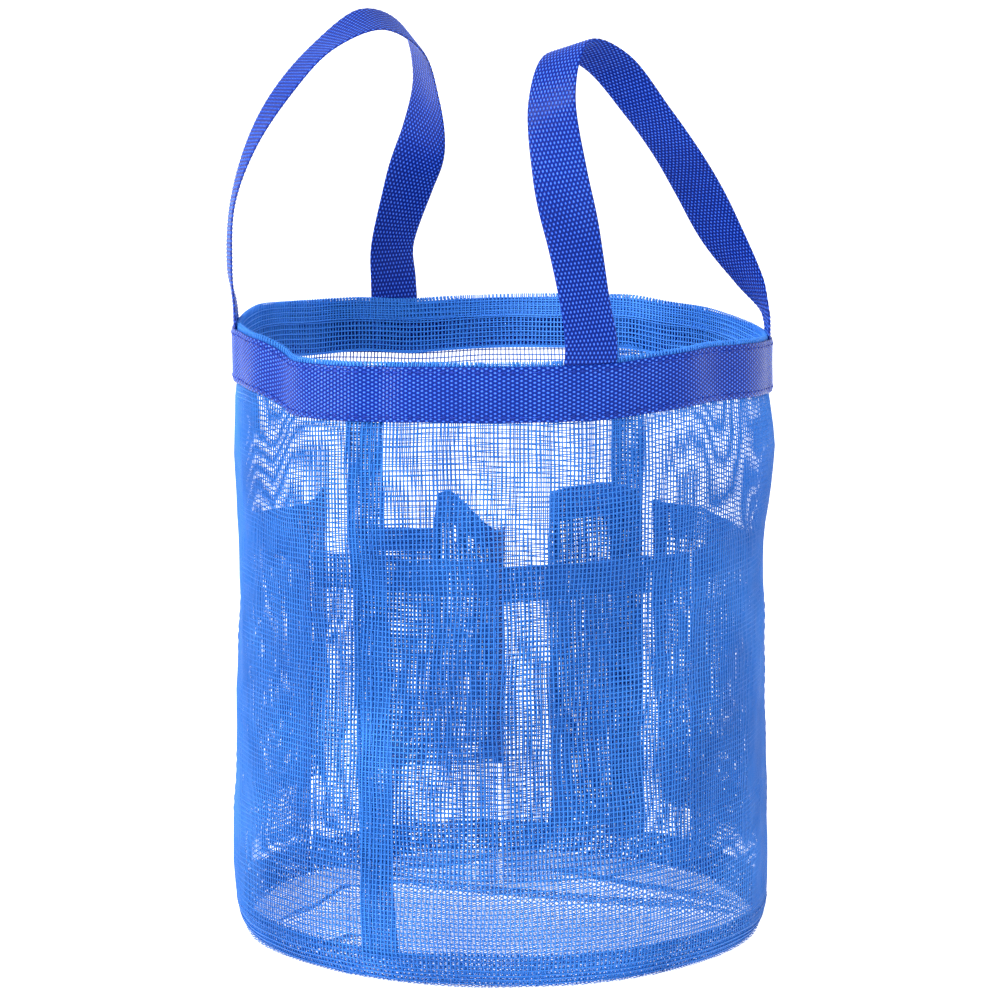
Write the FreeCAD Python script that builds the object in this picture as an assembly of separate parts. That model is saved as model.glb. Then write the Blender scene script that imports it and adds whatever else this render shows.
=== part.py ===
"""A round see-through carry bag of woven mesh, with a webbing rim, two webbing handles and a
ring of pouch pockets sewn round the inside.

The origin is the centre of the base, on the ground. +Z is up. The handles lie on +X and -X.
All lengths are in millimetres and all angles in degrees, counted from +X towards +Y.
"""

import FreeCAD, Part
import math
import os

# ---- driving dimensions ----------------------------------------------------------------------

RIM_HEIGHT = 250.0        # top edge of the webbing band
BAND_RADIUS = 110.0       # outside of the webbing band, so the bag is 220 across its rim
WEBBING_WIDTH = 22.0      # 7/8 inch tape, for the band and the handles
WEBBING_THICKNESS = 1.2
MESH_THICKNESS = 0.8      # stands in for the crossing threads of the mesh
LAYER_GAP = 0.1           # between layers that are sewn together
WALL_FOOT = 1.0           # the wall starts this far above the ground
SIDE_SEAMS = (-85.0, 95.0)
SEAM_WIDTH = 14.5
SEAM_ALLOWANCE = 13.0     # height of the turned-up mesh inside the lower edge
FACING_HEIGHT = 22.0      # mesh turned down inside the rim
FRINGE = 1.6              # the mesh stands this far above the band

# Height and outside radius of the mesh wall: rounded at the foot, slightly waisted, straight
# under the band.
BAND_SEAT_RADIUS = BAND_RADIUS - WEBBING_THICKNESS - LAYER_GAP
WALL_PROFILE = (
    (WALL_FOOT, 107.6), (3.0, 109.6), (7.0, 111.3), (22.0, 112.2), (60.0, 110.8), (110.0, 109.6),
    (150.0, 109.4), (186.0, 110.0), (226.0, BAND_SEAT_RADIUS), (RIM_HEIGHT, BAND_SEAT_RADIUS),
)
FLOOR_RADIUS = 108.0
FLOOR_THICKNESS = 0.9

# Each handle: the angle of its middle, half the angle between its feet, and the route of the
# tape from foot to foot. A station is (along the chord, outward from the bag's axis, rise
# above the rim, turn of the tape's width about Z from the chord, lift of the width).
HANDLES = {
    "right": (0.0, 36.0, (
        (-64.3, 88.5, 0, 36, 0), (-63.8, 88.0, 10, 33, 0), (-62.8, 84.5, 24, 28, 0),
        (-61.2, 78.0, 48, 39, 5), (-63.5, 73.0, 73, 67, 8), (-62.0, 68.0, 102, 86, 11),
        (-47.0, 65.0, 121, 89, 17), (-24.0, 68.5, 114, 89, 17), (-5.0, 74.5, 94, 89, 10),
        (13.0, 77.0, 76, 86, 7), (30.0, 77.0, 59, 84, 8), (45.5, 78.0, 40, 90, 9),
        (58.0, 83.0, 21, 112, 6), (63.5, 87.6, 9, 138, 1), (64.3, 88.5, 0, 144, 0),
    )),
    "left": (183.2, 31.8, (
        (-57.6, 93.0, 0, 32, 0), (-57.2, 92.7, 10, 29, 0), (-56.5, 91.5, 26, 25, 0),
        (-55.6, 82.5, 51, 45, 3), (-51.0, 72.0, 72, 84, 16), (-41.0, 64.0, 94, 111, 27),
        (-25.0, 60.5, 116, 115, 31), (-3.0, 66.0, 125, 117, 20), (18.0, 77.0, 114, 119, -1),
        (35.0, 85.5, 96, 121, -5), (47.0, 92.5, 75, 133, -3), (55.0, 96.5, 51, 140, -6),
        (58.0, 96.0, 26, 140, -5), (57.8, 93.6, 10, 146, 0), (57.6, 93.0, 0, 148, 0),
    )),
}
HINGE_RISE = 12.0         # the tape folds over along a line this far above the rim
HINGE_CLEARANCE = 0.8
BEND_START = 2.6          # the stretch that bends starts this far above the rim
FOOT_DEPTH = 21.0         # how far the tape's end runs down under the band
FOOT_TOP = 1.0            # and how far it stands above the rim before it bends
ROUTE_STEPS = 42
BEND_STEPS = 4

# Each pocket: start and end angle of its two sewn sides, height of its foot and of its hem,
# how far it stands in from the wall, and where across its width it stands in furthest.
POCKETS = (
    (92.5, 114.0, 15.0, 171.0, 34.0, 0.70),
    (125.0, 159.0, 42.0, 168.0, 36.0, 0.30),
    (171.0, 214.0, 44.0, 171.0, 17.0, 0.50),
    (215.5, 259.5, 44.0, 174.0, 14.0, 0.50),
    (260.5, 304.5, 44.0, 174.0, 13.0, 0.50),
    (305.5, 349.5, 44.0, 168.0, 13.0, 0.50),
    (350.5, 394.5, 44.0, 166.0, 15.0, 0.50),
    (47.0, 86.0, 30.0, 170.0, 24.0, 0.60),
)
# Up a pocket: the share of its rise, and the share of its depth that it has there.
POCKET_SWELL = ((0.0, 0.15), (0.12, 0.75), (0.4, 1.0), (1.0, 1.0))
POCKET_CLEARANCE = 2.6    # from the wall's outer face to a pocket, past the side seams
HEM_HEIGHT = 13.5
POCKET_FACETS = 8

STITCH_LENGTH = 3.0
STITCH_PITCH = 4.6
STITCH_THREAD = 0.4
STITCH_INSET = 2.2        # from a tape's edge to its row of stitches
STITCH_LIFT = 0.15        # thread stands this clear of what it is sewn through
POCKET_STITCH_INSET = 0.25    # degrees in from a pocket's side

os.makedirs("parts", exist_ok=True)


# ---- small helpers ---------------------------------------------------------------------------

def polar(radius, angle, height):
    """The point at this radius, angle and height."""
    turn = math.radians(angle)
    return FreeCAD.Vector(radius * math.cos(turn), radius * math.sin(turn), height)


def write(name, solids):
    """Writes one node, of one solid or of several like ones."""
    shape = solids[0] if len(solids) == 1 else Part.makeCompound(solids)
    shape.exportStep(f"parts/{name}.step")


def between(profile, height):
    """The value of a (height, value) profile at this height."""
    for (low, start), (high, end) in zip(profile, profile[1:]):
        if height <= high:
            share = max(0.0, (height - low) / (high - low))
            return start + (end - start) * share
    return profile[-1][1]


def wall_radius(height):
    return between(WALL_PROFILE, height)


def revolved(outline, start, sweep):
    """The solid that an outline of (radius, height) points makes when it turns about Z."""
    points = [polar(radius, start, height) for radius, height in outline]
    face = Part.Face(Part.makePolygon(points + points[:1]))
    return face.revolve(FreeCAD.Vector(0, 0, 0), FreeCAD.Vector(0, 0, 1), sweep)


def wall_skin(low, high, depth, thickness, start, sweep):
    """A skin that follows the wall between two heights, depth inside its outer face."""
    heights = [low] + [h for h, _ in WALL_PROFILE if low < h < high] + [high]
    outer = [(wall_radius(h) - depth, h) for h in heights]
    inner = [(radius - thickness, h) for radius, h in outer]
    return revolved(outer + inner[::-1], start, sweep)


def lofted(outlines):
    """A solid with flat-sided walls through a row of closed outlines."""
    wires = [Part.makePolygon(points + points[:1]) for points in outlines]
    return Part.makeLoft(wires, True, True)


def extruded_ring(inner, outer, height):
    """A ring between two closed plan outlines of points at the same height."""
    face = Part.Face([Part.makePolygon(outer + outer[:1]), Part.makePolygon(inner + inner[:1])])
    return face.extrude(FreeCAD.Vector(0, 0, height))


def smooth_route(stations, position):
    """Runs smoothly through evenly numbered stations (a Catmull-Rom curve)."""
    last = len(stations) - 1
    index = min(int(position), last - 1)
    share = position - index
    near = [stations[min(max(index + step, 0), last)] for step in (-1, 0, 1, 2)]
    values = []
    for before, start, end, after in zip(*near):
        leaving, arriving = (end - before) / 2, (after - start) / 2
        values.append(
            start + share * leaving
            + share ** 2 * (3 * (end - start) - 2 * leaving - arriving)
            + share ** 3 * (2 * (start - end) + leaving + arriving)
        )
    return values


# ---- mesh wall, floor and seams --------------------------------------------------------------

def wall_panels():
    """Two half panels of mesh, which meet under the side seams."""
    gap = 0.1
    top = RIM_HEIGHT + FRINGE
    for name, start in zip(("wall_panel_right", "wall_panel_left"), SIDE_SEAMS):
        panel = wall_skin(WALL_FOOT, top, 0.0, MESH_THICKNESS, start + gap / 2, 180 - gap)
        write(name, [panel])


def side_seams():
    """The seam allowances: a doubled strip of mesh on the inside of each side seam."""
    end_gap = 0.6
    low = WALL_FOOT + SEAM_ALLOWANCE + end_gap
    high = RIM_HEIGHT - FACING_HEIGHT - end_gap
    depth = MESH_THICKNESS + LAYER_GAP
    half = math.degrees(SEAM_WIDTH / 2 / BAND_RADIUS)
    for name, angle in zip(("side_seam_front", "side_seam_back"), SIDE_SEAMS):
        write(name, [wall_skin(low, high, depth, MESH_THICKNESS, angle - half, 2 * half)])


def facing():
    """The mesh turned over the rim and down inside, as one ring with a folded top."""
    fold_low = RIM_HEIGHT + FRINGE + LAYER_GAP
    fold_high = fold_low + MESH_THICKNESS / 2
    outer = BAND_SEAT_RADIUS - MESH_THICKNESS - LAYER_GAP
    inner = outer - MESH_THICKNESS
    outline = [
        (inner, RIM_HEIGHT - FACING_HEIGHT), (outer, RIM_HEIGHT - FACING_HEIGHT),
        (outer, fold_low), (BAND_SEAT_RADIUS - LAYER_GAP, fold_low),
        (BAND_SEAT_RADIUS - LAYER_GAP, fold_high), (inner, fold_high),
    ]
    write("rim_facing", [revolved(outline, 0, 360)])


def base():
    """The round floor of mesh and the seam allowance that stands up inside the lower edge."""
    write("floor_panel", [Part.makeCylinder(FLOOR_RADIUS, FLOOR_THICKNESS)])
    low = FLOOR_THICKNESS + 3 * LAYER_GAP
    high = WALL_FOOT + SEAM_ALLOWANCE
    depth = MESH_THICKNESS + LAYER_GAP
    write("base_seam_binding", [wall_skin(low, high, depth, MESH_THICKNESS, 0, 360)])


# ---- webbing ---------------------------------------------------------------------------------

def foot_angles():
    return [middle + side * half for middle, half, _ in HANDLES.values() for side in (-1, 1)]


def band_bulge(angle):
    """The band stands out over each foot of a handle, which is sewn in under it."""
    margin, easing = 0.6, 3.0
    covered = math.degrees(WEBBING_WIDTH / 2 / BAND_RADIUS) + margin
    offsets = [abs((angle - foot + 180) % 360 - 180) for foot in foot_angles()]
    share = min(max((covered + easing - min(offsets)) / easing, 0.0), 1.0)
    return (WEBBING_THICKNESS + LAYER_GAP) * share ** 2 * (3 - 2 * share)


def rim_band():
    """The webbing sewn round the outside of the rim."""
    low = RIM_HEIGHT - WEBBING_WIDTH
    angles = [2.0 * step for step in range(180)]
    outer = [polar(BAND_RADIUS + band_bulge(a), a, low) for a in angles]
    inner = [polar(BAND_RADIUS - WEBBING_THICKNESS + band_bulge(a), a, low) for a in angles]
    write("rim_band", [extruded_ring(inner, outer, WEBBING_WIDTH)])


def tape_section(middle, stations, position):
    """The four corners of the handle tape at this place on its route."""
    outward = polar(1, middle, 0)
    along = FreeCAD.Vector(-outward.y, outward.x, 0)
    up = FreeCAD.Vector(0, 0, 1)

    def centre(place):
        chord, out, rise, _, _ = smooth_route(stations, place)
        return along * chord + outward * out + up * (RIM_HEIGHT + rise)

    step = 0.01
    last = len(stations) - 1
    heading = centre(min(position + step, last)) - centre(max(position - step, 0))
    turn, lift = [math.radians(v) for v in smooth_route(stations, position)[3:]]
    level = along * math.cos(turn) + outward * math.sin(turn)
    across = level * math.cos(lift) + up * math.sin(lift)
    normal = across.cross(heading).normalize()
    across = heading.cross(normal).normalize()
    side, face = across * (WEBBING_WIDTH / 2), normal * (WEBBING_THICKNESS / 2)
    middle_point = centre(position)
    return [middle_point + side + face, middle_point - side + face,
            middle_point - side - face, middle_point + side - face]


def place_at_rise(stations, rise, near_start):
    """Where along the route the tape passes this rise, near its first or its second foot."""
    last = len(stations) - 1
    low, high = 0.0, 3.0
    for _ in range(40):
        half = (low + high) / 2
        place = half if near_start else last - half
        if smooth_route(stations, place)[2] < rise:
            low = half
        else:
            high = half
    return low if near_start else last - low


def tape(middle, stations, start, end, steps):
    places = [start + (end - start) * step / steps for step in range(steps + 1)]
    return lofted([tape_section(middle, stations, place) for place in places])


def handles():
    """Each handle is one loop of tape. Its feet are sewn in under the band, a short stretch
    above the rim bends, and the loop above that swings as one."""
    foot_low, foot_high = RIM_HEIGHT - FOOT_DEPTH, RIM_HEIGHT + FOOT_TOP
    foot_half = math.degrees(WEBBING_WIDTH / 2 / BAND_RADIUS)
    foot_outline = [
        (BAND_SEAT_RADIUS + LAYER_GAP, foot_low),
        (BAND_SEAT_RADIUS + LAYER_GAP + WEBBING_THICKNESS, foot_low),
        (BAND_SEAT_RADIUS + LAYER_GAP + WEBBING_THICKNESS, foot_high),
        (BAND_SEAT_RADIUS + LAYER_GAP, foot_high),
    ]
    for name, (middle, half, stations) in HANDLES.items():
        feet = [revolved(foot_outline, middle + side * half - foot_half, 2 * foot_half)
                for side in (-1, 1)]
        write(f"handle_{name}_feet", feet)
        bends = []
        for near_start in (True, False):
            low = place_at_rise(stations, BEND_START, near_start)
            high = place_at_rise(stations, HINGE_RISE, near_start)
            bends.append(tape(middle, stations, low, high, BEND_STEPS))
        write(f"handle_{name}_bends", bends)
        start = place_at_rise(stations, HINGE_RISE + HINGE_CLEARANCE, True)
        end = place_at_rise(stations, HINGE_RISE + HINGE_CLEARANCE, False)
        write(f"handle_{name}", [tape(middle, stations, start, end, ROUTE_STEPS)])


# ---- pockets ---------------------------------------------------------------------------------

def pocket_outline(start, end, height, stand_in, fullest, offset, thickness):
    """A thin strip in plan, sewn to the wall at both ends and standing in between them."""
    skew = math.log(0.5) / math.log(fullest)
    outer, inner = [], []
    for step in range(POCKET_FACETS + 1):
        share = step / POCKET_FACETS
        depth = stand_in * math.sin(math.pi * share ** skew)
        radius = wall_radius(height) - POCKET_CLEARANCE - depth - offset
        angle = start + (end - start) * share
        outer.append(polar(radius, angle, height))
        inner.append(polar(radius - thickness, angle, height))
    return outer + inner[::-1]


def pockets():
    """Pouches of one layer of mesh, each with a folded hem along its open top."""
    layer = MESH_THICKNESS + LAYER_GAP
    for number, (start, end, foot, hem, stand_in, fullest) in enumerate(POCKETS, 1):

        def outline(height, share, offset):
            depth = stand_in * share
            return pocket_outline(start, end, height, depth, fullest, offset, MESH_THICKNESS)

        pouch = [outline(foot + up * (hem - foot), share, 0.0) for up, share in POCKET_SWELL]
        write(f"pocket_{number}", [lofted(pouch)])
        turned = [outline(height, 1.0, layer) for height in (hem - HEM_HEIGHT, hem)]
        write(f"pocket_hem_{number}", [lofted(turned)])


# ---- stitching -------------------------------------------------------------------------------

def stitch(point, direction, outward):
    """One stitch of thread: a small bar centred on a point, lying along a direction."""
    bar = Part.makeBox(STITCH_LENGTH, STITCH_THREAD, STITCH_THREAD)
    bar.translate(FreeCAD.Vector(-STITCH_LENGTH / 2, -STITCH_THREAD / 2, 0))
    across = outward.cross(direction)
    matrix = FreeCAD.Matrix(
        direction.x, across.x, outward.x, point.x,
        direction.y, across.y, outward.y, point.y,
        direction.z, across.z, outward.z, point.z,
        0, 0, 0, 1,
    )
    return bar.transformed(matrix)


def ring_of_stitches(radius_at, height):
    """Stitches all round at one height, on a surface whose radius depends on the angle."""
    count = int(2 * math.pi * BAND_RADIUS / STITCH_PITCH)
    reach = math.degrees(STITCH_LENGTH / 2 / BAND_RADIUS)
    bars = []
    for step in range(count):
        angle = 360.0 * step / count
        start, end = [polar(radius_at(a), a, height) for a in (angle - reach, angle + reach)]
        middle = polar(radius_at(angle), angle, height)
        direction = (end - start).normalize()
        outward = direction.cross(FreeCAD.Vector(0, 0, 1))
        rise = max(0.0, (start - middle).dot(outward))
        bars.append(stitch(middle + outward * (rise + STITCH_LIFT), direction, outward))
    return bars


def column_of_stitches(angle, low, high):
    """Stitches up the outside of the wall at one angle."""
    up, outward = FreeCAD.Vector(0, 0, 1), polar(1, angle, 0)
    bars = []
    for step in range(int((high - low) / STITCH_PITCH)):
        height = low + STITCH_PITCH * (step + 0.5)
        ends = (height - STITCH_LENGTH / 2, height + STITCH_LENGTH / 2)
        radius = max(wall_radius(end) for end in ends) + STITCH_LIFT
        bars.append(stitch(polar(radius, angle, height), up, outward))
    return bars


def rim_stitching():
    """Two rows that sew the band on, one near each of its edges."""

    def on_band(angle):
        return BAND_RADIUS + band_bulge(angle)

    lower = RIM_HEIGHT - WEBBING_WIDTH + STITCH_INSET
    write("rim_stitching_upper", ring_of_stitches(on_band, RIM_HEIGHT - STITCH_INSET))
    write("rim_stitching_lower", ring_of_stitches(on_band, lower))


def side_seam_stitching():
    """A row near each edge of both side seams."""
    low = SEAM_ALLOWANCE + STITCH_INSET
    high = RIM_HEIGHT - WEBBING_WIDTH - WALL_FOOT
    half = math.degrees((SEAM_WIDTH / 2 - STITCH_INSET) / BAND_RADIUS)
    rows = []
    for angle in SIDE_SEAMS:
        for side in (-1, 1):
            rows += column_of_stitches(angle + side * half, low, high)
    write("side_seam_stitching", rows)


def base_stitching():
    """The row that holds the seam allowance round the lower edge."""
    height = SEAM_ALLOWANCE - WALL_FOOT
    write("base_stitching", ring_of_stitches(lambda angle: wall_radius(height), height))


def pocket_stitching():
    """A row up each side of every pocket."""
    rows = []
    for start, end, foot, hem, _, _ in POCKETS:
        for angle in (start + POCKET_STITCH_INSET, end - POCKET_STITCH_INSET):
            rows += column_of_stitches(angle, foot, hem)
    write("pocket_stitching", rows)


wall_panels()
side_seams()
facing()
base()
rim_band()
handles()
pockets()
rim_stitching()
side_seam_stitching()
base_stitching()
pocket_stitching()
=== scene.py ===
import math

import bpy
import numpy as np
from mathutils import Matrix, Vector


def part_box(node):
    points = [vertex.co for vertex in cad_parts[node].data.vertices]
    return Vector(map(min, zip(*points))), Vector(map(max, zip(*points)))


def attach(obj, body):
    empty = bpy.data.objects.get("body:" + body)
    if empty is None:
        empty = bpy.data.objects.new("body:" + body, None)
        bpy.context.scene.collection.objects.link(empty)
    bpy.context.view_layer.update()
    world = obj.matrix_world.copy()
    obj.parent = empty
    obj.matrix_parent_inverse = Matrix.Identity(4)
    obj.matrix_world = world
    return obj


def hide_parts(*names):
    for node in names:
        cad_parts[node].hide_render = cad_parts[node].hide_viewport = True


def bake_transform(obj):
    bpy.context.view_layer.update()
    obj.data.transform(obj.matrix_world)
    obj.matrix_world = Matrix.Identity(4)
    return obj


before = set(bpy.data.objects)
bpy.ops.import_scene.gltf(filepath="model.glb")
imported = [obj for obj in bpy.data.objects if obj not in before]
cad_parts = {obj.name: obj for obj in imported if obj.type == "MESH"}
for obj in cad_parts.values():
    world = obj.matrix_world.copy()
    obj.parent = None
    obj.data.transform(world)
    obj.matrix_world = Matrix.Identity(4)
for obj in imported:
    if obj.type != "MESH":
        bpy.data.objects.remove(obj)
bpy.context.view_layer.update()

# The looks of a see-through mesh carry bag. Lengths are in metres, angles in degrees from +X
# towards +Y. Every mesh part is woven from separate threads, and the webbing has a real weave.

MM = 0.001

# ---- sizes -----------------------------------------------------------------------------------

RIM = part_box("rim_band")[1].z
BAND_OUTER = 110.0 * MM
BAND_THICKNESS = 1.1 * MM
TAPE_WIDTH = 22.0 * MM
TAPE_THICKNESS = 1.1 * MM
FRINGE = 1.7 * MM             # how far the facing's fold shows above the band
SIDE_SEAMS = (-85.0, 95.0)
# How far round each seam has drifted at its foot, in degrees.
SEAM_DRIFT = {"side_seam_front": 4.5, "side_seam_back": 0.5}
SEAM_WIDTH = 14.5 * MM
SEAM_ALLOWANCE = 13.0 * MM
SEAM_LAYERS = 3
FACING_HEIGHT = 22.0 * MM
FACING_FOLD = 0.6 * MM        # radius of the fold over the rim
FACING_BEHIND = 5.0 * MM      # how far the facing goes down behind the band
PLAN_RADIUS = 109.5 * MM      # where lengths round the bag are measured

WARP_PITCH = 1.69 * MM
WEFT_PITCH = 2.1 * MM
WARP_WIDTH = 0.46 * MM
WEFT_WIDTH = 0.43 * MM
THREAD_HEIGHT = 0.30 * MM
CROSSING = 0.10 * MM          # warps lie this far outside the middle of the mesh, wefts inside
UNEVENNESS = 0.09 * MM        # how far a thread strays from its place in the mesh
SKEW = 0.035                  # slope of the wall's wefts, because its cloth isn't cut quite square
SKEW_EASE = 40.0 * MM         # the slope fades out over this height at the foot and the rim
WALL_LOOSENESS = 0.42 * MM    # how far the wall's threads wander together
NET_LOOSENESS = 0.3 * MM      # the same in the pockets and the floor
WALL_INSET = 0.4 * MM         # the wall's middle lies this far inside its outer radius

FLOOR_RADIUS = 108.2 * MM
FLOOR_BIAS = 80.5             # angle of the floor's warps
FLOOR_WIDTH = 0.36 * MM       # width and thickness of the floor's threads
FLOOR_HEIGHT = 0.15 * MM
FLOOR_CROSSING = 0.04 * MM
SLANTING_PITCH = 2.6 * MM     # between the slanting threads of the floor's turned-up edge

WEAVE_ALONG = 3.4 * MM        # the webbing's weave repeats over this length
WEAVE_ACROSS = 1.6 * MM
WEAVE_RELIEF = 0.20 * MM
CROWN_SHARPNESS = 2.2         # how narrow each crown is along the tape
ROWS_PER_REPEAT = 7           # rows of points in each repeat of the band's weave
WEAVE_MARGIN = 0.08           # share of half the tape's width over which the weave fades out
WEAVE_STEP = 0.48 * MM        # between the rows of points along a handle's tape

STITCH_LENGTH = 3.0 * MM
STITCH_PITCH = 4.6 * MM
STITCH_WIDTH = 0.42 * MM
STITCH_INSET = 2.2 * MM

# Each handle: middle angle, half the angle between its feet, and its route from foot to foot in
# mm: (along the chord, outward, rise above the rim, turn of the width, lift of the width).
HANDLES = {
    "right": (0.0, 36.0, (
        (-64.3, 88.5, 0, 36, 0), (-63.8, 88.0, 10, 33, 0), (-62.8, 84.5, 24, 28, 0),
        (-61.2, 78.0, 48, 39, 5), (-63.5, 73.0, 73, 67, 8), (-62.0, 68.0, 102, 86, 11),
        (-47.0, 65.0, 121, 89, 17), (-24.0, 68.5, 114, 89, 17), (-5.0, 74.5, 94, 89, 10),
        (13.0, 77.0, 76, 86, 7), (30.0, 77.0, 59, 84, 8), (45.5, 78.0, 40, 90, 9),
        (58.0, 83.0, 21, 112, 6), (63.5, 87.6, 9, 138, 1), (64.3, 88.5, 0, 144, 0),
    )),
    "left": (183.2, 31.8, (
        (-57.6, 93.0, 0, 32, 0), (-57.2, 92.7, 10, 29, 0), (-56.5, 91.5, 26, 25, 0),
        (-55.6, 82.5, 51, 45, 3), (-51.0, 72.0, 72, 84, 16), (-41.0, 64.0, 94, 111, 27),
        (-25.0, 60.5, 116, 115, 31), (-3.0, 66.0, 125, 117, 20), (18.0, 77.0, 114, 119, -1),
        (35.0, 85.5, 96, 121, -5), (47.0, 92.5, 75, 133, -3), (55.0, 96.5, 51, 140, -6),
        (58.0, 96.0, 26, 140, -5), (57.8, 93.6, 10, 146, 0), (57.6, 93.0, 0, 148, 0),
    )),
}
FOOT_DEPTH = 21.0             # mm of each end of a handle's tape, sewn in under the band

# Each pocket: start and end angle, height of its foot and hem in mm, how far it stands in from
# the wall, where across its width it stands in furthest, how many ripples it has and how deep,
# and how many layers its cloth lies in.
POCKETS = {
    1: (92.5, 114.0, 15.0, 171.0, 34.0, 0.70, 2, 2.0, 2),
    2: (125.0, 159.0, 42.0, 171.0, 36.0, 0.30, 3, 2.5, 2),
    3: (171.0, 214.0, 44.0, 171.0, 17.0, 0.50, 3, 1.6, 1),
    4: (215.5, 259.5, 44.0, 174.0, 14.0, 0.50, 2, 1.2, 1),
    5: (260.5, 304.5, 44.0, 172.0, 13.0, 0.50, 2, 1.0, 1),
    6: (305.5, 349.5, 44.0, 170.0, 13.0, 0.50, 2, 1.2, 1),
    7: (350.5, 394.5, 44.0, 168.0, 15.0, 0.50, 2, 1.4, 1),
    8: (47.0, 86.0, 30.0, 170.0, 24.0, 0.60, 3, 2.0, 2),
}
# How far a pocket's hem droops, in mm, at shares of its width.
HEM_DROOP = {
    1: ((0, 4), (0.3, 0), (0.75, 1), (1, 10)),
    2: ((0, 23), (0.12, 18), (0.52, 0), (0.61, 2), (0.63, 18), (1, 20)),
    8: ((0, 9), (0.3, 1), (0.7, 0), (1, 8)),
}
PLAIN_DROOP = ((0, 0), (0.5, 1.5), (1, 0))
POUCH_LAYER_GAP = 2.2 * MM
POCKET_CLEARANCE = 2.6 * MM
HEM_HEIGHT = 13.5 * MM
HEM_LAYERS = 2

# How far the limp rim rises and dips round the bag: (angle, mm).
RIM_WAVES = (
    (-119, 2.1), (-107, -3.3), (-92, -2.4), (-81, -1.6), (-70, -0.3), (-59, 0.0), (-33, 0.4),
    (-21, 1.9), (-7, 2.4), (8, 0.9), (31, -2.5), (45, -2.9), (57, -1.3), (71, -0.2), (84, 0.0),
    (94, 1.5), (104, 0.8), (126, -0.4), (137, -0.8), (148, -1.2), (160, 0.8), (175, 2.0),
    (196, 4.6), (215, 1.7), (228, 2.4),
)
# Dents all over the limp wall: how deep, and how far from one to the next. Broad ones come first.
WALL_DENTS = ((1.1 * MM, 95 * MM), (0.35 * MM, 30 * MM))
# Places where the rim is pushed in: (angle, mm in, half width in degrees).
RIM_DENTS = ((-112, 4.0, 7), (-81, 1.6, 4), (-2, 3.0, 8), (150, 2.0, 10), (60, 1.5, 9))
# Places where the wall swells or is pinched: (angle, height mm, mm out, half width in degrees,
# half height in mm).
WALL_SWELLS = ((36, 204, 2.2, 16, 19), (36, 160, -1.4, 14, 14), (216, 200, 0.8, 14, 24))
# Creases in the floor: (x, y) of both ends, how far they stand up and half width, all in mm.
FLOOR_CREASES = (
    ((-72, 7), (89, 50), 5.0, 4.5), ((-23, 65), (82, 58), 5.0, 4.5),
    ((-65, -70), (-72, -3), 4.5, 4.0), ((-36, -98), (-22, -66), 3.5, 3.5),
    ((-78, 30), (-49, 67), 3.5, 3.5), ((4, 67), (71, 71), 3.5, 3.0),
)
GATHER = 0.72                 # how closely the threads are drawn together at a crease


# ---- small helpers ---------------------------------------------------------------------------

def unit(vectors):
    return vectors / np.linalg.norm(vectors, axis=-1, keepdims=True)


def smoothstep(value):
    value = np.clip(value, 0, 1)
    return value * value * (3 - 2 * value)


def random_field(points, seed, size):
    """A smooth random value, mostly between -1 and 1, at each point. Size is its wavelength."""
    random = np.random.default_rng(seed)
    total = np.zeros(points.shape[:-1])
    waves = 6
    for _ in range(waves):
        direction = unit(random.normal(size=3))
        length = size * random.uniform(0.7, 1.5)
        total += np.sin(points @ direction * (2 * math.pi / length) + random.uniform(0, 2 * math.pi))
    return total / math.sqrt(waves)


def round_profile(values):
    """A smooth closed curve round the bag through (angle, value) pairs, one value a degree."""
    angles, heights = zip(*values)
    circle = np.interp(np.arange(360), angles, heights, period=360)
    near = np.hanning(11)
    wrapped = np.concatenate([circle[-5:], circle, circle[:5]])
    return np.convolve(wrapped, near / near.sum(), mode="valid")


RIM_LIFT = round_profile(RIM_WAVES) * MM


def wall_profile():
    """Outer radius of the mesh wall against height, as the CAD panels have it."""
    nodes = [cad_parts[name] for name in ("wall_panel_right", "wall_panel_left")]
    corners = np.array([v.co for node in nodes for v in node.data.vertices])
    radii, heights = np.hypot(corners[:, 0], corners[:, 1]), corners[:, 2].round(5)
    levels = np.unique(heights)
    return levels, np.array([radii[heights == level].max() for level in levels])


WALL_HEIGHTS, WALL_RADII = wall_profile()


def wall_radius(height):
    """The wall's outer radius, with the kinks between the CAD's levels smoothed out."""
    reach = np.clip(height / 3, 0, 6 * MM)
    spread = [np.interp(height + reach * k, WALL_HEIGHTS, WALL_RADII) for k in (-1, -0.5, 0, 0.5, 1)]
    below_band = smoothstep((height - 0.17) / 0.04) * smoothstep((RIM - 0.016 - height) / 0.012)
    return sum(spread) / len(spread) + 1.2 * MM * below_band


def on_bag(degrees, height, radius):
    """Points of the bag in plan polar form, with the limp cloth's own waves and dents."""
    turn = np.radians(degrees)
    around = np.stack([np.cos(turn), np.sin(turn), np.zeros_like(turn)], axis=-1)
    nominal = around * BAND_OUTER
    nominal[..., 2] = height
    soft = smoothstep(height / (40 * MM)) * (1 - 0.45 * smoothstep((height - 0.2) / (40 * MM)))
    dent = sum(deep * soft * random_field(nominal, 3 + number, apart)
               for number, (deep, apart) in enumerate(WALL_DENTS))
    near_rim = smoothstep((height - 170 * MM) / (70 * MM))
    for angle, inward, half in RIM_DENTS:
        away = (degrees - angle + 180) % 360 - 180
        dent -= inward * MM * near_rim * np.exp(-(away / half) ** 2)
    for angle, middle, outward, half, tall in WALL_SWELLS:
        away = (degrees - angle + 180) % 360 - 180
        dent += outward * MM * np.exp(-(away / half) ** 2 - ((height / MM - middle) / tall) ** 2)
    lift = np.interp(degrees, np.arange(360), RIM_LIFT, period=360)
    lift = lift * smoothstep((height - 110 * MM) / (130 * MM))
    points = around * (radius + dent)[..., None]
    points[..., 2] = height + lift
    return points


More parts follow.
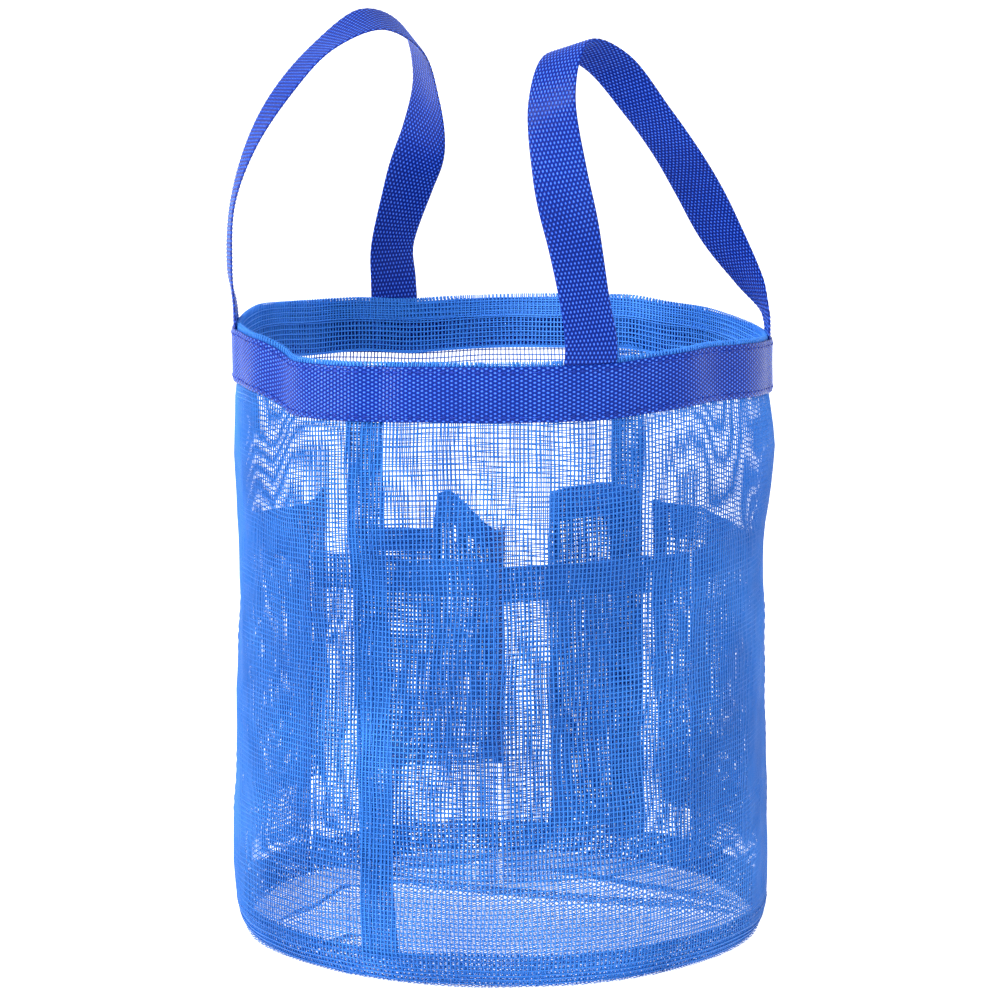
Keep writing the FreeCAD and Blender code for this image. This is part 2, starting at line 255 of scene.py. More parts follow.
def loosened(u, v, seed, amount):
    """Pattern places shifted a little along the cloth, as the threads of a real mesh are."""
    place = np.stack([u, v, np.zeros_like(u)], axis=-1)
    return (u + amount * random_field(place, seed, 30 * MM),
            v + amount * random_field(place, seed + 1, 38 * MM))


# ---- making pieces ---------------------------------------------------------------------------

def add_piece(name, points, faces, material, slot, body="bag"):
    mesh = bpy.data.meshes.new(name)
    mesh.from_pydata(points.tolist(), [], faces)
    mesh.shade_smooth()
    mesh.materials.append(material)
    piece = bpy.data.objects.new(name, mesh)
    bpy.context.scene.collection.objects.link(piece)
    if body:
        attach(piece, body)
    return piece


def strands(surface, lines, samples, width, height=THREAD_HEIGHT, lift=0.0, arch=0.0, closed=True):
    """Threads along straight lines (u, v, u, v) of a flat pattern, laid on a surface. Lift moves
    them off the surface, arch adds more in the middle of each, and closed shuts their ends."""
    lines = np.asarray(lines, float)
    share = np.linspace(0, 1, samples)
    u = lines[:, :1] + (lines[:, 2:3] - lines[:, :1]) * share
    v = lines[:, 1:2] + (lines[:, 3:4] - lines[:, 1:2]) * share
    step = 0.3 * MM
    points = surface(u, v)
    normal = unit(np.cross(
        surface(u + step, v) - surface(u - step, v), surface(u, v + step) - surface(u, v - step)))
    along = unit(np.gradient(points, axis=1))
    across = unit(np.cross(normal, along))
    centre = points + normal * (lift + arch * np.sin(math.pi * share))[None, :, None]
    corners = ((1, 1), (-1, 1), (-1, -1), (1, -1))
    rings = np.stack([centre + across * (a * width / 2) + normal * (b * height / 2)
                      for a, b in corners], axis=2)
    first = np.arange(len(lines))[:, None, None] * samples * 4
    ring = np.arange(samples - 1)[None, :, None] * 4
    side, turned = np.arange(4), (np.arange(4) + 1) % 4
    base = first + ring
    walls = np.stack([base + side, base + turned, base + 4 + turned, base + 4 + side], axis=-1)
    faces = walls.reshape(-1, 4)
    if closed:
        ends = first[:, 0, 0][:, None]
        starts = ends + np.array([3, 2, 1, 0])
        finishes = ends + (samples - 1) * 4 + np.array([0, 1, 2, 3])
        faces = np.concatenate([faces, starts, finishes])
    return rings.reshape(-1, 3), faces


def joined(parts):
    """Several (points, faces) as one."""
    points, faces, count = [], [], 0
    for some_points, some_faces in parts:
        points.append(some_points)
        faces.append(some_faces + count)
        count += len(some_points)
    return np.concatenate(points), np.concatenate(faces).tolist()


def strayed(places):
    """Thread places, each a little off its even pitch."""
    random = np.random.default_rng(len(places))
    return places + np.clip(random.normal(0, UNEVENNESS, len(places)), -0.3 * MM, 0.3 * MM)


def woven(surface, width, height, warp_samples, weft_samples, shift=0.0, lift=0.0):
    """The warps and wefts of a rectangle of mesh, from (0, 0) to (width, height) of its pattern."""
    warps = strayed(np.arange(WARP_PITCH * (0.5 + shift), width - 0.3 * MM, WARP_PITCH))
    wefts = strayed(np.arange(WEFT_PITCH * (0.3 + shift), height, WEFT_PITCH))
    upright = [(u, 0, u, height) for u in warps]
    level = [(0, v, width, v) for v in wefts]
    return [strands(surface, upright, warp_samples, WARP_WIDTH, lift=lift + CROSSING),
            strands(surface, level, weft_samples, WEFT_WIDTH, lift=lift - CROSSING)]


def count_for(length, spacing):
    return max(3, int(round(length / spacing)) + 1)


def sheet_of(nodes):
    """Hides the CAD nodes that a piece stands for."""
    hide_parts(*nodes)


# ---- materials -------------------------------------------------------------------------------

class Nodes:
    """A material's nodes, added one at a time."""

    def __init__(self, name):
        self.material = bpy.data.materials.new(name)
        self.material.use_nodes = True
        self.tree = self.material.node_tree
        self.shader = self.tree.nodes["Principled BSDF"]

    def add(self, kind, inputs=(), **settings):
        node = self.tree.nodes.new(kind)
        for key, value in settings.items():
            setattr(node, key, value)
        for key, value in dict(inputs).items():
            self.set(node, key, value)
        return node

    def set(self, node, key, value):
        if isinstance(value, bpy.types.NodeSocket):
            self.tree.links.new(value, node.inputs[key])
        else:
            node.inputs[key].default_value = value

    def maths(self, operation, *values):
        return self.add("ShaderNodeMath", enumerate(values), operation=operation).outputs[0]

    def ramp(self, factor, stops):
        node = self.add("ShaderNodeValToRGB", {"Fac": factor})
        elements = node.color_ramp.elements
        while len(elements) < len(stops):
            elements.new(0.5)
        for element, (place, colour) in zip(elements, stops):
            element.position = place
            element.color = (*colour, 1.0)
        return node.outputs["Color"]

    def noise(self, size, detail=2.0):
        """Noise with features about that size, fixed to the object."""
        place = self.add("ShaderNodeTexCoord").outputs["Object"]
        settings = {"Vector": place, "Scale": 0.5 / size, "Detail": detail}
        return self.add("ShaderNodeTexNoise", settings).outputs["Fac"]

    def spread(self, value, low, high):
        node = self.add("ShaderNodeMapRange", {
            "Value": value, "From Min": 0.3, "From Max": 0.7, "To Min": low, "To Max": high})
        return node.outputs["Result"]

    def bump(self, height, strength, distance, under=None):
        inputs = {"Height": height, "Strength": strength, "Distance": distance}
        if under is not None:
            inputs["Normal"] = under
        return self.add("ShaderNodeBump", inputs).outputs["Normal"]

    def finish(self, colour, roughness, normal, sheen, tint, specular=0.22):
        self.set(self.shader, "Base Color", colour)
        self.set(self.shader, "Roughness", roughness)
        self.set(self.shader, "Normal", normal)
        self.shader.inputs["Specular IOR Level"].default_value = specular
        self.shader.inputs["Sheen Weight"].default_value = sheen
        self.shader.inputs["Sheen Roughness"].default_value = 0.35
        self.shader.inputs["Sheen Tint"].default_value = (*tint, 1.0)
        return self.material


def yarn(name, deep, plain, faded, sheen=0.06, roughness=(0.34, 0.52)):
    """Smooth polyester yarn: uneven dye, faded patches, fine twisted filaments."""
    n = Nodes(name)
    patches = n.noise(30 * MM, 3.0)
    colour = n.ramp(patches, ((0.34, deep), (0.5, plain), (0.68, faded)))
    grain = n.noise(0.25 * MM, 3.0)
    wear = n.noise(6 * MM)
    normal = n.bump(grain, 0.35, 0.06 * MM)
    return n.finish(colour, n.spread(wear, *roughness), normal, sheen, faded)


def webbing(name, painted_shade, plain, painted_highlight):
    """Woven tape: staggered yarn crowns over hollows, coloured with a painted highlight on the crowns and
    painted shade in the hollows, with uneven dye and wear.
    """
    n = Nodes(name)
    weave = n.add("ShaderNodeUVMap", uv_map="weave").outputs["UV"]
    split = n.add("ShaderNodeSeparateXYZ", {"Vector": weave})
    waves = [n.maths("COSINE", n.maths("MULTIPLY", split.outputs[axis], 2 * math.pi)) for axis in (0, 1)]
    along, across = [n.maths("MULTIPLY_ADD", wave, 0.499, 0.5) for wave in waves]
    floats = []
    for here, beside in ((along, across), tuple(n.maths("SUBTRACT", 1.0, wave) for wave in (along, across))):
        floats.append(n.maths("MULTIPLY", n.maths("POWER", here, CROWN_SHARPNESS), beside))
    crown = n.maths("ADD", *floats)
    # The crown pattern, with fine grain added, sets where the highlight is painted on the crowns and the
    # shade in the hollows.
    painted_crown_light_and_grain = n.maths("MULTIPLY_ADD", n.noise(0.5 * MM, 3.0), 0.3, crown)
    patches = n.noise(16 * MM, 3.0)
    shown = n.maths("MULTIPLY_ADD", patches, 0.35, painted_crown_light_and_grain)
    # The ramp paints shade into the hollows and a highlight onto the crowns, over patches of uneven dye.
    colour = n.ramp(n.maths("MULTIPLY", shown, 0.72), ((0.42, painted_shade), (0.66, plain), (0.95, painted_highlight)))
    grain = n.noise(0.2 * MM, 2.0)
    filaments = n.bump(grain, 0.25, 0.05 * MM)
    normal = n.bump(crown, 0.5, 0.12 * MM, filaments)
    return n.finish(colour, n.spread(n.noise(9 * MM), 0.2, 0.34), normal, 0.02, painted_highlight, 0.12)


MESH_BLUE = yarn("mesh_yarn", (0.016, 0.125, 0.48), (0.022, 0.160, 0.57), (0.036, 0.205, 0.66))
SEAM_BLUE = yarn("seam_yarn", (0.016, 0.125, 0.50), (0.023, 0.165, 0.60), (0.036, 0.210, 0.70))
# The facing's yarn is the wall's yarn painted lighter: painted light against the shade it lies in inside the
# rim.
FACING_PAINTED_LIGHT_BLUE = yarn("facing_yarn_painted_light", (0.032, 0.200, 0.68), (0.044, 0.240, 0.80), (0.070, 0.300, 0.88))
FLOOR_BLUE = yarn("floor_yarn", (0.024, 0.155, 0.54), (0.032, 0.200, 0.64), (0.050, 0.250, 0.74))
# Each webbing's first colour is painted shade for the hollows, its middle one the tape's own blue, and its
# last a painted highlight for the crowns, also used as the sheen's tint.
BAND_BLUE = webbing("band_webbing", (0.001, 0.014, 0.18), (0.003, 0.045, 0.45), (0.090, 0.250, 0.90))
TAPE_BLUE = webbing("handle_webbing", (0.001, 0.012, 0.16), (0.003, 0.038, 0.42), (0.080, 0.220, 0.86))
MESH_THREAD = yarn("mesh_sewing_thread", (0.010, 0.090, 0.40), (0.016, 0.120, 0.48), (0.024, 0.15, 0.56))
BAND_THREAD = yarn("band_sewing_thread", (0.002, 0.018, 0.22), (0.004, 0.032, 0.34), (0.010, 0.06, 0.46))


# ---- mesh wall, floor and seams --------------------------------------------------------------

def wall_surface(start, depth, seed, low=0.0, drift=0.0, slope=0.0, level_at=0.0):
    """The cloth of the wall: u runs round the bag from an angle, v up it from a height. Its foot
    may have drifted round by an angle, and its wefts may slope, level at one place."""

    def surface(u, v):
        u, v = loosened(u, v, seed, WALL_LOOSENESS)
        free = smoothstep(v / SKEW_EASE) * smoothstep((RIM - low - v) / SKEW_EASE)
        height = v + low + slope * (u - level_at) * free
        degrees = start + np.degrees(u / PLAN_RADIUS) + drift * (1 - height / RIM)
        return on_bag(degrees, height, wall_radius(height) - depth)

    return surface


def add_walls():
    foot = 1.6 * MM
    top = RIM + 0.8 * MM
    width = math.pi * PLAN_RADIUS
    for number, (node, start) in enumerate(zip(("wall_panel_right", "wall_panel_left"), SIDE_SEAMS)):
        surface = wall_surface(start, WALL_INSET, 20 + number, foot, slope=SKEW, level_at=width / 2)
        parts = woven(surface, width, top - foot, 32, 70)
        wall = add_piece(f"{node}_mesh", *joined(parts), MESH_BLUE, "wall_mesh")
        sheet_of([node])


def add_side_seams():
    """Both seam allowances are folded under, so each seam is three layers deep inside the wall.
    The front seam drifts round a little towards its foot."""
    low = SEAM_ALLOWANCE - 2 * MM
    high = RIM - FACING_HEIGHT + 2 * MM
    half = math.degrees(SEAM_WIDTH / 2 / PLAN_RADIUS)
    for node, angle in zip(("side_seam_front", "side_seam_back"), SIDE_SEAMS):
        parts = []
        for layer in range(SEAM_LAYERS):
            depth = (1.0 + 0.42 * layer) * MM
            cloth = wall_surface(angle - half, depth, 30 + layer, low, SEAM_DRIFT[node])
            parts += woven(cloth, SEAM_WIDTH, high - low, 30, 5, shift=layer / SEAM_LAYERS)
            edges = [(side, 0, side, high - low) for side in (0.2 * MM, SEAM_WIDTH - 0.2 * MM)]
            parts.append(strands(cloth, edges, 30, 0.7 * MM))
        seam = add_piece(f"{node}_mesh", *joined(parts), SEAM_BLUE, "seam_mesh")
        sheet_of([node])


def facing_path(v):
    """(height, depth inside the band's inner face) up the inside of the rim, over the fold that
    shows above the band as a fringe, and down behind the band."""
    rise = FACING_HEIGHT + FRINGE - 0.5 * MM
    turn = np.clip((v - rise) / FACING_FOLD, 0, math.pi)
    beyond = np.clip(v - rise - FACING_FOLD * math.pi, 0, None)
    height = RIM - FACING_HEIGHT + np.clip(v, 0, rise) + FACING_FOLD * np.sin(turn) - beyond
    depth = 1.3 * MM - FACING_FOLD * (1 - np.cos(turn))
    return height, depth


def add_facing():
    length = 2 * math.pi * PLAN_RADIUS
    drop = FACING_HEIGHT + 2 * FRINGE + FACING_BEHIND
    seat = BAND_OUTER - BAND_THICKNESS

    def surface_at(inset, seed):
        def surface(u, v):
            u, v = loosened(u, v, seed, 0.25 * MM)
            height, depth = facing_path(v)
            return on_bag(np.degrees(u / PLAN_RADIUS), height, seat - depth - inset)
        return surface

    single = surface_at(0, 40)
    inner = surface_at(0.45 * MM, 42)
    close = np.arange(0, length, WARP_PITCH)
    rows = strayed(np.arange(0.8 * MM, FACING_HEIGHT + FRINGE - 0.6 * MM, WEFT_PITCH))
    doubled = FACING_HEIGHT - 7.5 * MM
    parts = [
        strands(single, [(u, 0, u, drop) for u in strayed(close)], 26, WARP_WIDTH, lift=CROSSING),
        strands(single, [(0, v, length, v) for v in rows], 150, WEFT_WIDTH, lift=-CROSSING),
        strands(inner, [(u, doubled, u, drop - FACING_BEHIND) for u in close + WARP_PITCH / 2],
                14, WARP_WIDTH),
        strands(inner, [(0, v, length, v) for v in doubled + WEFT_PITCH * np.arange(4)], 150, WEFT_WIDTH),
        strands(single, [(0, v, length, v) for v in (0.2 * MM, doubled)], 150, 0.6 * MM),
    ]
    facing = add_piece("rim_facing_mesh", *joined(parts), FACING_PAINTED_LIGHT_BLUE, "facing_mesh")
    sheet_of(["rim_facing"])


def creased(x, y):
    """Places on the floor gathered into its creases, and how far each stands up there."""
    lift = np.zeros_like(x)
    for (x0, y0), (x1, y1), height, half in FLOOR_CREASES:
        run = np.array([x1 - x0, y1 - y0]) * MM
        length = np.linalg.norm(run)
        ahead = run / length
        along = ((x - x0 * MM) * ahead[0] + (y - y0 * MM) * ahead[1]) / length
        aside = (y - y0 * MM) * ahead[0] - (x - x0 * MM) * ahead[1] + 0.003 * np.sin(along * 5.0)
        fade = smoothstep((along + 0.15) / 0.35) * smoothstep((1.15 - along) / 0.35)
        lift += height * MM * fade * np.exp(-(aside / (half * MM)) ** 2)
        pull = GATHER * aside * fade * np.exp(-(aside / (2 * half * MM)) ** 2)
        x = x + pull * ahead[1]
        y = y - pull * ahead[0]
    return x, y, lift


def add_floor():
    """The floor's threads run at 45 degrees to the way the bag is looked at, are finer than the
    wall's, and end inside the seam round its edge."""
    radius = FLOOR_RADIUS
    bias = math.radians(FLOOR_BIAS)
    edge = radius - 2 * MM

    def surface(u, v):
        u, v = loosened(u, v, 50, NET_LOOSENESS)
        x = u * math.cos(bias) - v * math.sin(bias)
        y = u * math.sin(bias) + v * math.cos(bias)
        inside = smoothstep((radius - np.hypot(x, y)) / (12 * MM))
        place = np.stack([x, y, np.zeros_like(x)], axis=-1)
        x, y, lift = creased(x, y)
        lift = lift + 0.5 * MM * (1 + random_field(place, 52, 50 * MM))
        return np.stack([x, y, 0.9 * MM + inside * lift], axis=-1)

    def chords(pitch):
        places = np.arange(-edge, edge, pitch)
        return [(place, math.sqrt(radius ** 2 - place ** 2)) for place in places]

    warps = [(u, -half, u, half) for u, half in chords(WARP_PITCH)]
    wefts = [(-half, v, half, v) for v, half in chords(WEFT_PITCH)]
    parts = [strands(surface, lines, 90, FLOOR_WIDTH, FLOOR_HEIGHT, lift, closed=False)
             for lines, lift in ((warps, FLOOR_CROSSING), (wefts, -FLOOR_CROSSING))]
    floor = add_piece("floor_mesh", *joined(parts), FLOOR_BLUE, "floor_mesh")
    sheet_of(["floor_panel"])


def add_base_seam():
    """The turned-up allowances round the inside: the wall's own, and the floor's with its
    slanting threads."""
    length = 2 * math.pi * PLAN_RADIUS
    low, high = 1.2 * MM, 14.5 * MM
    rise = high - low
    wall_cloth = wall_surface(0, 1.0 * MM, 60, low)
    floor_cloth = wall_surface(0, 1.45 * MM, 61, low)
    parts = woven(wall_cloth, length, rise, 6, 160, shift=0.3)
    for slope in (-1, 1):
        slanting = [(u, 0, u + slope * rise, rise) for u in np.arange(0, length, SLANTING_PITCH)]
        parts.append(strands(floor_cloth, slanting, 6, WEFT_WIDTH, lift=slope * CROSSING))
    seam = add_piece("base_seam_mesh", *joined(parts), SEAM_BLUE, "seam_mesh")
    sheet_of(["base_seam_binding"])


# ---- pockets ---------------------------------------------------------------------------------

def pocket_ends(number):
    """Where a pocket's hem starts and ends: (share of its width, droop in mm)."""
    droops = HEM_DROOP.get(number, PLAIN_DROOP)
    return droops[0], droops[-1]


def pocket_shape(number):
    """A pocket's surface in its own pattern, and the pattern's width and height."""
    start, end, foot, hem, stand_in, fullest, ripples, ripple, _ = POCKETS[number]
    droop_places, droops = zip(*HEM_DROOP.get(number, PLAIN_DROOP))
    skew = math.log(0.5) / math.log(fullest)
    rise = (hem - foot) * MM

    def depth(share, up):
        belly = np.sin(math.pi * np.clip(share, 0, 1) ** skew)
        swell = np.interp(up, (0, 0.12, 0.4, 1.0), (0.12, 0.7, 0.95, 1.0))
        wave = np.sin(2 * math.pi * ripples * share + number + 1.5 * up)
        fold = ripple * wave * np.sin(math.pi * np.clip(share, 0, 1)) * (0.3 + 0.7 * up)
        return (stand_in * swell * belly + np.abs(fold)) * MM

    def radius(share, up, height):
        return wall_radius(height) - POCKET_CLEARANCE - depth(share, up)

    shares = np.linspace(0, 1, 200)
    degrees = np.radians(start + (end - start) * shares)
    plan = radius(shares, 0.7, np.full(200, 0.12))
    steps = np.hypot(np.diff(plan * np.cos(degrees)), np.diff(plan * np.sin(degrees)))
    lengths = np.concatenate([[0], np.cumsum(steps)])

    def surface(u, v):
        u, v = loosened(u, v, 70 + 2 * number, NET_LOOSENESS)
        share = np.interp(u, lengths, shares)
        up = v / rise
        sag = np.interp(share, droop_places, droops) * MM
        height = foot * MM + v - sag * np.clip(up, 0, 1.1) ** 2
        return on_bag(start + (end - start) * share, height, radius(share, up, height))

    return surface, lengths[-1], rise


def add_pockets():
    for number in POCKETS:
        surface, width, rise = pocket_shape(number)
        across = count_for(width, 2.5 * MM)
        cloth = POCKETS[number][-1]
        parts = []
        for layer in range(cloth):
            lift = layer * POUCH_LAYER_GAP
            parts += woven(surface, width, rise, 34, across, shift=0.5 * layer, lift=lift)
        pouch = add_piece(f"pouch_{number}", *joined(parts), MESH_BLUE, "pocket_mesh")
        sheet_of([f"pocket_{number}"])
        parts = []
        for layer in range(HEM_LAYERS):
            def turned(u, v, shape=surface, low=rise - HEM_HEIGHT):
                return shape(u, v + low)
            lift = (0.45 * layer - 0.2) * MM
            parts += woven(turned, width, HEM_HEIGHT, 7, across, shift=(layer + 1) / 4, lift=lift)
            edges = [(0, v, width, v) for v in (0.1 * MM, HEM_HEIGHT)]
            parts.append(strands(turned, edges, across, 0.65 * MM, lift=lift))
        hem = add_piece(f"hem_{number}", *joined(parts), SEAM_BLUE, "hem_mesh")
        sheet_of([f"pocket_hem_{number}"])


# ---- webbing ---------------------------------------------------------------------------------

def weave_relief(s, t):
    """Height of the woven crowns at a place along and across the tape: short raised floats in
    rows, every other row half a repeat on."""
    along = 0.5 + 0.5 * np.cos(2 * math.pi * s / WEAVE_ALONG)
    across = 0.5 + 0.5 * np.cos(2 * math.pi * t / WEAVE_ACROSS)
    crown = along ** CROWN_SHARPNESS * across + (1 - along) ** CROWN_SHARPNESS * (1 - across)
    return WEAVE_RELIEF * (2 * crown - 1)


def lattice(grid, around_length, s, t, closed, name, material, slot, body="bag"):
    """A closed skin over a grid of points, whose rows run along a tape and whose columns go
    round its section. The tape's ends are closed unless it runs in a ring."""
    rows, columns = grid.shape[:2]
    spans = rows if closed else rows - 1
    i, j = np.meshgrid(np.arange(spans), np.arange(columns), indexing="ij")
    i_next, j_next = (i + 1) % rows, (j + 1) % columns
    quads = np.stack([i * columns + j, i * columns + j_next,
                      i_next * columns + j_next, i_next * columns + j], axis=-1).reshape(-1, 4)
    s_ends = np.append(s, around_length) if closed else s
    t_ends = np.append(t, t[-1] + abs(t[-1] - t[-2]))
    uv = np.stack([
        np.stack([s_ends[i], s_ends[i], s_ends[i + 1], s_ends[i + 1]], axis=-1) / WEAVE_ALONG,
        np.stack([t_ends[j], t_ends[j + 1], t_ends[j + 1], t_ends[j]], axis=-1) / WEAVE_ACROSS,
    ], axis=-1).reshape(-1, 2)
    faces = quads.tolist()
    if not closed:
        faces.append(list(range(columns))[::-1])
        faces.append([(rows - 1) * columns + column for column in range(columns)])
        uv = np.concatenate([uv, np.zeros((2 * columns, 2))])
    piece = add_piece(name, grid.reshape(-1, 3), faces, material, slot, body)
    layer = piece.data.uv_layers.new(name="weave")
    layer.data.foreach_set("uv", uv.ravel())
    return piece


def section(face_points, back_points):
    """Round a tape's section: places across it, which side each is on, and how thick it is
    there as a share. It starts at one edge, crosses the face and comes back along the back."""
    face = np.linspace(-1, 1, face_points)
    back = np.linspace(1, -1, back_points + 2)[1:-1]
    across = np.concatenate([face, back])
    side = np.concatenate([np.ones(face_points), -np.ones(back_points)])
    full = np.sqrt(1 - np.abs(across) ** 10)
    return across, side, full


def band_bulge(degrees):
    """The band stands out over each foot of a handle."""
    feet = [middle + side * half for middle, half, _ in HANDLES.values() for side in (-1, 1)]
    nearest = np.min([np.abs((degrees - foot + 180) % 360 - 180) for foot in feet], axis=0)
    covered = math.degrees(TAPE_WIDTH / 2 / BAND_OUTER) + 0.6
    return 0.9 * MM * smoothstep((covered + 6.0 - nearest) / 6.0)


def band_radius(degrees):
    return BAND_OUTER + band_bulge(degrees)


def add_band():
    repeats = round(2 * math.pi * BAND_OUTER / WEAVE_ALONG)
    rows = repeats * ROWS_PER_REPEAT
    degrees = np.arange(rows) * 360.0 / rows
    s = np.arange(rows) * WEAVE_ALONG / ROWS_PER_REPEAT
    across, side, full = section(50, 12)
    t = np.where(side > 0, across, 2 - across) * TAPE_WIDTH / 2
    fading = (side > 0) * smoothstep((1 - np.abs(across)) / WEAVE_MARGIN)
    relief = weave_relief(s[:, None], t[None, :]) * fading
    middle = band_radius(degrees) - BAND_THICKNESS / 2
    offset = side * full * BAND_THICKNESS / 2 + relief
    height = RIM - TAPE_WIDTH / 2 - across * TAPE_WIDTH / 2
    shape = (rows, len(across))
    grid = on_bag(np.broadcast_to(degrees[:, None], shape), np.broadcast_to(height, shape),
                  middle[:, None] + offset)
    band = lattice(grid, repeats * WEAVE_ALONG, s, t, True, "rim_webbing", BAND_BLUE, "band_webbing")
    sheet_of(["rim_band"])


def smooth_route(stations, places):
    """A Catmull-Rom curve through evenly numbered stations."""
    stations = np.array(stations, float)
    last = len(stations) - 1
    index = np.minimum(places.astype(int), last - 1)
    share = (places - index)[:, None]
    before, start, end, after = [stations[np.clip(index + step, 0, last)] for step in (-1, 0, 1, 2)]
    leaving, arriving = (end - before) / 2, (after - start) / 2
    return (start + share * leaving + share ** 2 * (3 * (end - start) - 2 * leaving - arriving)
            + share ** 3 * (2 * (start - end) + leaving + arriving))


def handle_route(stations):
    """The tape's route with both feet, at even steps: rows of (chord, out, rise, turn, lift)."""
    loop = smooth_route(stations, np.linspace(0, len(stations) - 1, 700))
    down = np.linspace(-FOOT_DEPTH, -0.5, 24)
    feet = []
    for end in (loop[0], loop[-1]):
        foot = np.repeat(end[None, :], len(down), axis=0)
        foot[:, 2] = down
        feet.append(foot)
    route = np.concatenate([feet[0], loop, feet[1][::-1]])
    lengths = np.concatenate([[0], np.cumsum(np.linalg.norm(np.diff(route[:, :3], axis=0), axis=1))])
    total = lengths[-1] * MM
    even = np.linspace(0, lengths[-1], count_for(total, WEAVE_STEP))
    return np.stack([np.interp(even, lengths, column) for column in route.T], axis=1), total


def add_handle(name):
    middle, _, stations = HANDLES[name]
    route, length = handle_route(stations)
    turn = math.radians(middle)
    outward = np.array([math.cos(turn), math.sin(turn), 0.0])
    chord = np.array([-math.sin(turn), math.cos(turn), 0.0])
    up = np.array([0.0, 0.0, 1.0])
    centre = (route[:, :1] * chord + route[:, 1:2] * outward) * MM + (RIM + route[:, 2:3] * MM) * up
    heading = unit(np.gradient(centre, axis=0))
    swing, lift = np.radians(route[:, 3:4]), np.radians(route[:, 4:5])
    level = chord * np.cos(swing) + outward * np.sin(swing)
    width = level * np.cos(lift) + up * np.sin(lift)
    normal = unit(np.cross(width, heading))
    width = unit(np.cross(heading, normal))
    across, side, full = section(52, 50)
    s = np.linspace(0, length, len(route))
    t = np.where(side > 0, across, 2 - across) * TAPE_WIDTH / 2
    relief = weave_relief(s[:, None], t[None, :]) * smoothstep((1 - np.abs(across)) / WEAVE_MARGIN)
    thickness = side * (full * TAPE_THICKNESS / 2 + relief)
    grid = (centre[:, None] + width[:, None] * (across * TAPE_WIDTH / 2)[None, :, None]
            + normal[:, None] * thickness[..., None])
    near_rim = 1 - smoothstep(route[:, 2] / 24)
    radial = unit(centre * np.array([1, 1, 0]))
    curl = near_rim[:, None] * (across * TAPE_WIDTH / 2) ** 2 / (2 * BAND_OUTER)
    grid = grid - radial[:, None] * curl[..., None]
    degrees = np.degrees(np.arctan2(centre[:, 1], centre[:, 0]))
    ripple = np.interp(degrees, np.arange(360), RIM_LIFT, period=360) * near_rim
    dent = on_bag(degrees, np.full(len(route), RIM), np.zeros(len(route)))[:, :2]
    grid[..., 2] += ripple[:, None]
    grid[..., :2] += dent[:, None] * near_rim[:, None, None]
    tape = lattice(grid, length, s, t, False, f"handle_{name}_tape", TAPE_BLUE, "handle_webbing", None)
    body = f"handle_{name}"
    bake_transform(tape)
    sheet_of([body, f"{body}_bends", f"{body}_feet"])


# ---- stitching -------------------------------------------------------------------------------

def stitched(surface, rows, width=STITCH_WIDTH):
    """Stitches along rows, each a straight line (u, v, u, v) of a pattern."""
    lines = []
    for u0, v0, u1, v1 in rows:
        length = math.hypot(u1 - u0, v1 - v0)
        du, dv = (u1 - u0) / length, (v1 - v0) / length
        for place in np.arange(STITCH_PITCH / 2, length - STITCH_LENGTH, STITCH_PITCH):
            end = place + STITCH_LENGTH
            lines.append((u0 + du * place, v0 + dv * place, u0 + du * end, v0 + dv * end))
    return strands(surface, lines, 6, width, 0.34 * MM, lift=-0.05 * MM, arch=0.14 * MM)


def add_stitching():
    length = 2 * math.pi * PLAN_RADIUS

    def on_band(u, v):
        degrees = np.degrees(u / PLAN_RADIUS)
        return on_bag(degrees, v, band_radius(degrees) + 0.05 * MM)

    def on_wall(u, v):
        return on_bag(np.degrees(u / PLAN_RADIUS), v, wall_radius(v) - 0.2 * MM)

    def arc(degrees):
        return math.radians(degrees) * PLAN_RADIUS

    def level(height):
        return 0, height, length, height

    rows = {
        "rim_stitching_upper": (on_band, [level(RIM - STITCH_INSET)]),
        "rim_stitching_lower": (on_band, [level(RIM - TAPE_WIDTH + STITCH_INSET)]),
        "side_seam_stitching": (on_wall, [
            (arc(angle) + side, SEAM_ALLOWANCE, arc(angle) + side, RIM - TAPE_WIDTH)
            for angle in SIDE_SEAMS
            for side in (-SEAM_WIDTH / 2 + STITCH_INSET, SEAM_WIDTH / 2 - STITCH_INSET)]),
        "base_stitching": (on_wall, [level(SEAM_ALLOWANCE - MM)]),
        "pocket_stitching": (on_wall, [
            (arc(angle), foot * MM, arc(angle), (hem - droop - 2) * MM)
            for number, (start, end, foot, hem, *_) in POCKETS.items()
            for angle, (_, droop) in zip((start + 0.3, end - 0.3), pocket_ends(number))]),
    }
    for node, (surface, lines) in rows.items():
        points, faces = stitched(surface, lines)
        blue = BAND_THREAD if surface is on_band else MESH_THREAD
        thread = add_piece(f"{node}_thread", points, faces.tolist(), blue, "thread")
        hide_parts(node)


# ---- the studio ------------------------------------------------------------------------------

VIEW_AZIMUTH = 35.5
VIEW_DISTANCE = 1.7632        # level distance from the bag's axis
VIEW_HEIGHT = 0.4856
AIM_HEIGHT = 0.1788
AIM_ASIDE = -0.0008
LENS = 155.19
STAGE_HALF = 20.0             # half the side of the studio's floor
STAGE_GLOW = 0.9
WORLD_STRENGTH = 1.02
# Each lamp: its place as from_camera takes it, its size and its power in watts.
LAMPS = {"key": ((-1.9, 0.55, 1.0), 0.35, 30.0), "top": ((-0.5, 1.5, 1.5), 0.9, 22.0)}


def from_camera(right, nearer, up):
    """A place given as seen by the camera: to the right, towards it, and up."""
    turn = math.radians(VIEW_AZIMUTH)
    side = Vector((math.cos(turn), math.sin(turn), 0))
    front = Vector((math.sin(turn), -math.cos(turn), 0))
    return side * right + front * nearer + Vector((0, 0, up))


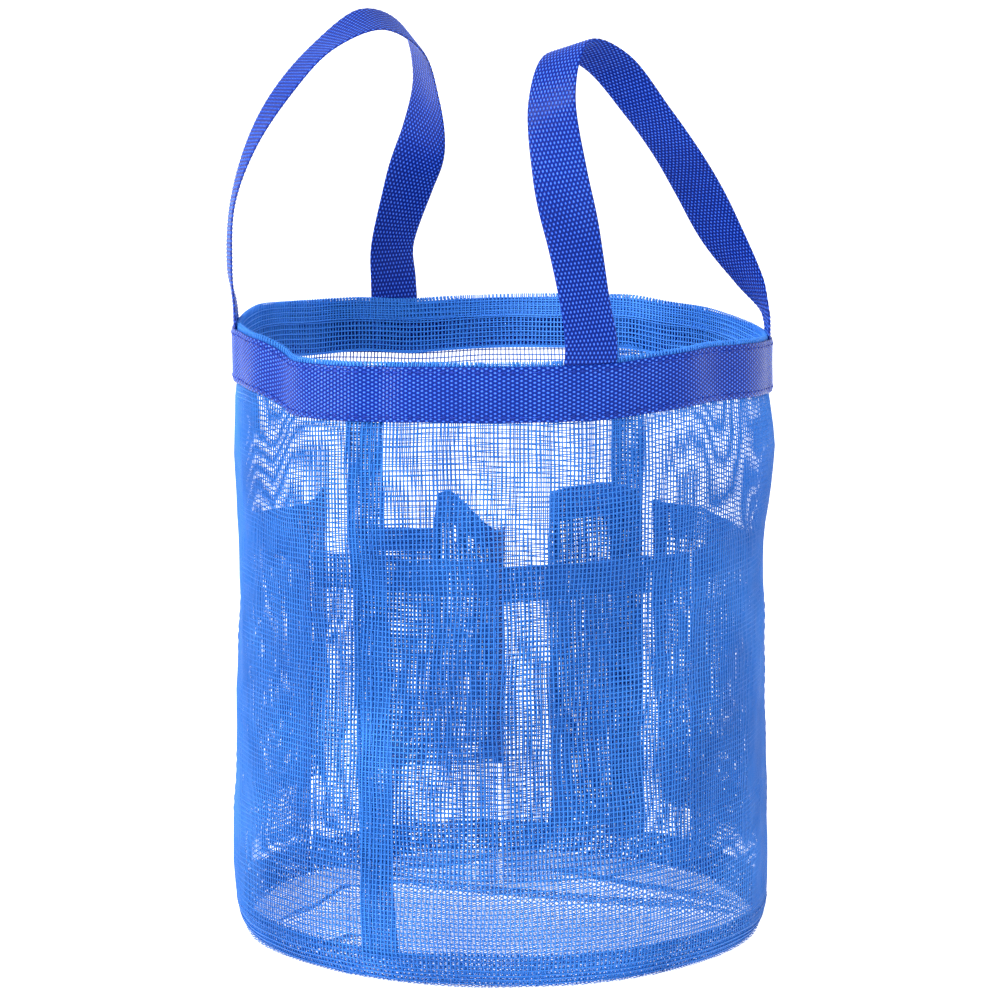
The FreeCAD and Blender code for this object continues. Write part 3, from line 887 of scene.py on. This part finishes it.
def aim(thing, target):
    thing.rotation_euler = (target - thing.location).to_track_quat("-Z", "Y").to_euler()


def add_camera():
    data = bpy.data.cameras.new("camera")
    data.lens = LENS
    data.sensor_width = 36
    data.dof.use_dof = False
    camera = bpy.data.objects.new("camera", data)
    bpy.context.scene.collection.objects.link(camera)
    camera.location = from_camera(0, VIEW_DISTANCE, VIEW_HEIGHT)
    aim(camera, from_camera(AIM_ASIDE, 0, AIM_HEIGHT))
    bpy.context.scene.camera = camera


def add_lamp(name, place, size, power):
    data = bpy.data.lights.new(name, "AREA")
    data.size = size
    data.energy = power
    lamp = bpy.data.objects.new(name, data)
    bpy.context.scene.collection.objects.link(lamp)
    lamp.location = from_camera(*place)
    aim(lamp, Vector((0, 0, 0.2)))


def add_studio():
    half = STAGE_HALF
    mesh = bpy.data.meshes.new("stage_floor")
    corners = [(-half, -half, 0), (half, -half, 0), (half, half, 0), (-half, half, 0)]
    mesh.from_pydata(corners, [], [(0, 1, 2, 3)])
    paint = bpy.data.materials.new("stage_white")
    paint.use_nodes = True
    inputs = paint.node_tree.nodes["Principled BSDF"].inputs
    inputs["Base Color"].default_value = (0.6, 0.6, 0.6, 1)
    inputs["Roughness"].default_value = 0.9
    inputs["Emission Color"].default_value = (1, 1, 1, 1)
    inputs["Emission Strength"].default_value = STAGE_GLOW
    mesh.materials.append(paint)
    floor = bpy.data.objects.new("stage_floor", mesh)
    bpy.context.scene.collection.objects.link(floor)
    world = bpy.data.worlds.new("studio")
    world.use_nodes = True
    backdrop = world.node_tree.nodes["Background"].inputs
    backdrop["Color"].default_value = (1, 1, 1, 1)
    backdrop["Strength"].default_value = WORLD_STRENGTH
    bpy.context.scene.world = world
    for name, lamp in LAMPS.items():
        add_lamp(name, *lamp)
    bpy.context.scene.view_settings.view_transform = "Standard"
    bpy.context.scene.view_settings.look = "None"


add_studio()
add_camera()
add_walls()
add_side_seams()
add_band()
add_facing()
add_floor()
add_base_seam()
add_pockets()
for handle in HANDLES:
    add_handle(handle)
add_stitching()
